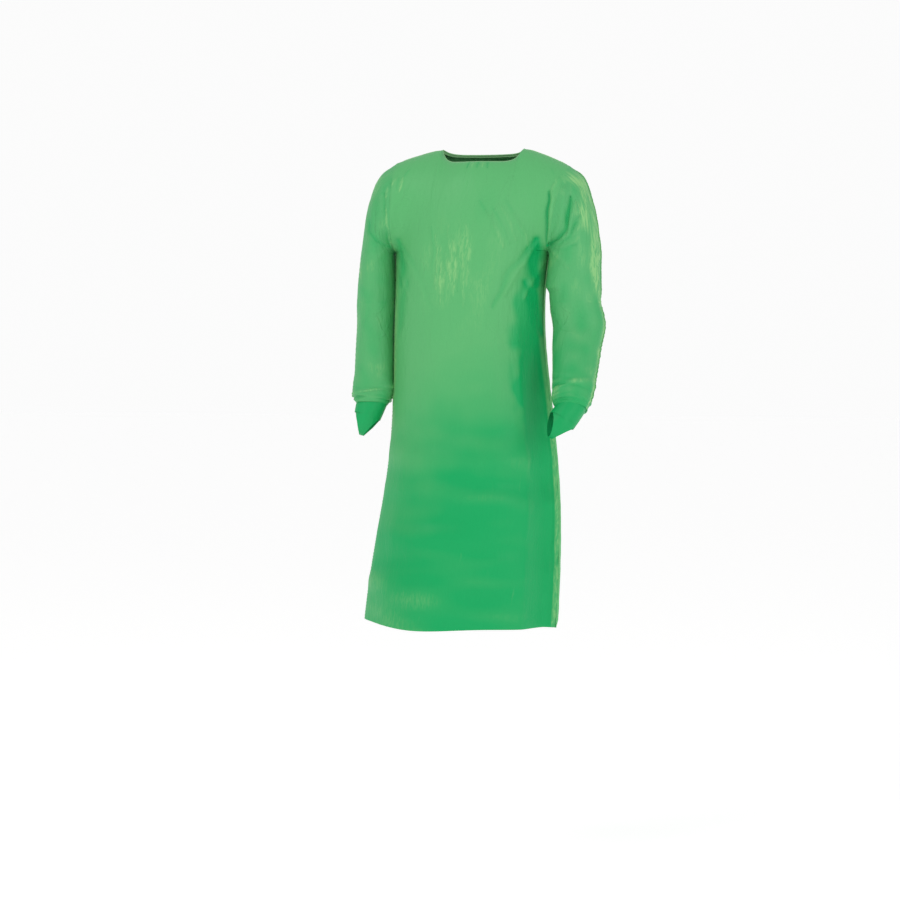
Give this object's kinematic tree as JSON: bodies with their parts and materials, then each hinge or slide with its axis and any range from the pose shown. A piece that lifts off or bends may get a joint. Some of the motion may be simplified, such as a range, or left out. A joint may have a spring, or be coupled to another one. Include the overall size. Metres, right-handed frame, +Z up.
{
  "type": "isolation gown",
  "caption": "Long-sleeved knee-length protective gown of thin green plastic film with thumb-loop cuffs and an open, flapped back.",
  "frame": {"origin": "midway between the two points where the shoulder welds meet the neck edge", "axes": "+Z up, the front of the gown faces -Y, and the wearer's left is +X"},
  "size_m": [0.5458, 0.2766, 1.0127],
  "materials": {
    "body_film": "satin",
    "sleeve_film": "satin",
    "cuff_film": "satin",
    "weld": "satin"
  },
  "bodies": {
    "body": {"front_panel": "body_film", "back_panel_left": "body_film", "back_panel_right": "body_film", "back_neck_weld": "weld", "neck_edge_front": "weld", "neck_edge_back": "weld", "shoulder_weld_left": "weld", "shoulder_weld_right": "weld", "side_weld_left": "weld", "side_weld_right": "weld"},
    "left_flap": {"back_flap_left": "body_film", "tie_patch_left": "weld"},
    "left_sleeve": {"sleeve_head_left": "sleeve_film", "sleeve_upper_left": "sleeve_film", "sleeve_elbow_left": "sleeve_film", "over_arm_weld_left": "weld"},
    "left_forearm": {"sleeve_forearm_left": "sleeve_film", "cuff_left": "cuff_film", "thumb_loop_left": "cuff_film", "forearm_weld_left": "weld", "under_arm_weld_left": "weld"},
    "right_flap": {"back_flap_right": "body_film", "tie_patch_right": "weld"},
    "right_sleeve": {"sleeve_head_right": "sleeve_film", "sleeve_upper_right": "sleeve_film", "sleeve_elbow_right": "sleeve_film", "over_arm_weld_right": "weld"},
    "right_forearm": {"sleeve_forearm_right": "sleeve_film", "cuff_right": "cuff_film", "thumb_loop_right": "cuff_film", "forearm_weld_right": "weld", "under_arm_weld_right": "weld"}
  },
  "joints": [
    {"name": "left_flap_open", "type": "hinge", "parent": "body", "child": "left_flap", "pos_m": [-0.0125, 0.08697, -0.112], "axis": [0.085, 0.0465, -0.9953], "range_deg": [0, 100]},
    {"name": "right_flap_open", "type": "hinge", "parent": "body", "child": "right_flap", "pos_m": [-0.0125, 0.08697, -0.112], "axis": [0.1708, -0.0459, 0.9842], "range_deg": [0, 100]},
    {"name": "left_sleeve_raise", "type": "hinge", "parent": "body", "child": "left_sleeve", "pos_m": [0.2, 0, -0.185], "axis": [0, -1, 0], "range_deg": [0, 70], "deforming": ["sleeve_head_left"]},
    {"name": "right_sleeve_raise", "type": "hinge", "parent": "body", "child": "right_sleeve", "pos_m": [-0.228, 0, -0.185], "axis": [0, 1, 0], "range_deg": [0, 70], "deforming": ["sleeve_head_right"]},
    {"name": "left_elbow_bend", "type": "hinge", "parent": "left_sleeve", "child": "left_forearm", "pos_m": [0.204, -0.01, -0.372], "axis": [-1, 0, 0], "range_deg": [0, 65], "deforming": ["sleeve_elbow_left"]},
    {"name": "right_elbow_bend", "type": "hinge", "parent": "right_sleeve", "child": "right_forearm", "pos_m": [-0.241, 0.022, -0.372], "axis": [-1, 0, 0], "range_deg": [0, 70], "deforming": ["sleeve_elbow_right"]}
  ]
}
